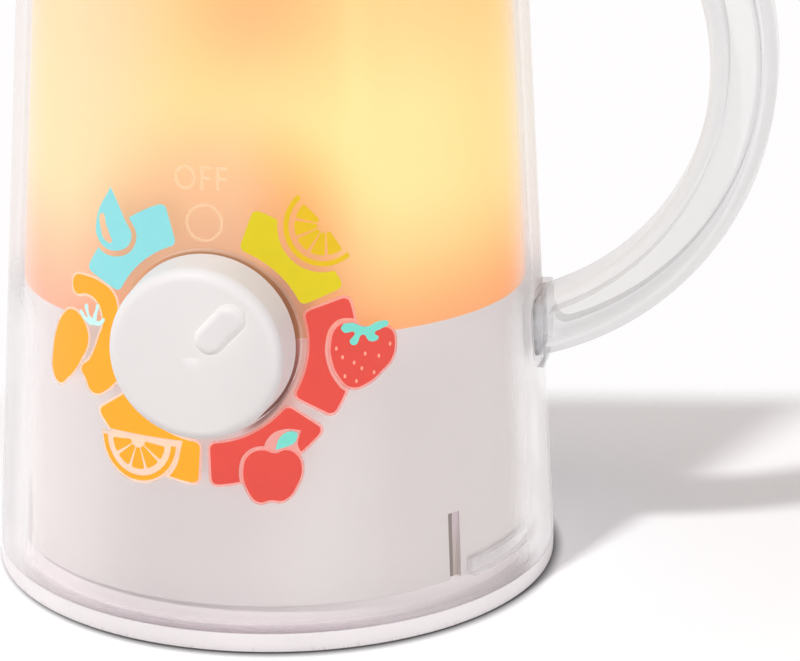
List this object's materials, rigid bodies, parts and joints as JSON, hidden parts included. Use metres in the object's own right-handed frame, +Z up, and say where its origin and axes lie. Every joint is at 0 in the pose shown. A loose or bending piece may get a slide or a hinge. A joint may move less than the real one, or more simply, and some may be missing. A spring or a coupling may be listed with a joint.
{
  "type": "toy blender",
  "caption": "Pretend blender for small children: clear tapered jug with a side handle over a lit frosted wall, white drum base, turning fruit dial and lift-off lid.",
  "frame": {"origin": "middle of the base, on the surface that the toy stands on", "axes": "+Z up the jug, -Y out of the dial, +X towards the handle"},
  "size_m": [0.1568, 0.1222, 0.2066],
  "materials": {
    "white_plastic": "satin moulded plastic",
    "clear_plastic": "polished clear plastic",
    "frosted_plastic": "frosted, lit from inside",
    "lid_plastic": "satin moulded plastic",
    "soft_rubber": "soft, matte",
    "steel": "plated",
    "board_green": "solder mask",
    "dark_parts": "matte",
    "lamp": "clear lamp body",
    "cell_sleeve": "printed sleeve",
    "paper_cone": "paper",
    "nylon": "natural nylon"
  },
  "bodies": {
    "jug": {"base_pan": "white_plastic", "battery_cells": "cell_sleeve", "battery_contacts": "steel", "speaker_frame": "steel", "speaker_cone": "paper_cone", "drum_housing": "white_plastic", "deck": "white_plastic", "light_board": "board_green", "leds": "lamp", "main_board": "board_green", "board_parts": "dark_parts", "dial_housing": "white_plastic", "dial_back_plate": "white_plastic", "dial_screws": "steel", "detent_spring": "steel", "rotary_switch": "dark_parts", "clear_shell": "clear_plastic", "handle": "clear_plastic", "frosted_wall": "frosted_plastic", "mixing_cup": "frosted_plastic", "rim_ring": "lid_plastic", "case_screws": "steel", "deck_screws": "steel", "wires": "dark_parts"},
    "dial": {"knob": "white_plastic", "dial_shaft": "nylon", "detent_wheel": "nylon", "shaft_clip": "steel"},
    "battery_door": {"battery_door": "white_plastic", "battery_door_screw": "steel"},
    "paddle": {"paddle": "white_plastic"},
    "lid": {"lid": "lid_plastic", "lid_seal": "soft_rubber"},
    "filler_cap": {"filler_cap": "clear_plastic"}
  },
  "joints": [
    {"name": "dial_turn", "type": "hinge", "parent": "jug", "child": "dial", "pos_m": [0, -0.06, 0.0592], "axis": [0, -1, 0], "continuous": true},
    {"name": "door_swing", "type": "hinge", "parent": "jug", "child": "battery_door", "pos_m": [0, 0.01975, 0.001], "axis": [1, 0, 0], "range_deg": [0, 70]},
    {"name": "paddle_spin", "type": "hinge", "parent": "jug", "child": "paddle", "pos_m": [0, 0, 0.11], "axis": [0, 0, 1], "continuous": true},
    {"name": "lid_lift", "type": "slide", "parent": "jug", "child": "lid", "axis": [0, 0, 1], "range_m": [0, 0.06]},
    {"name": "cap_lift", "type": "slide", "parent": "lid", "child": "filler_cap", "axis": [0, 0, 1], "range_m": [0, 0.04]}
  ]
}
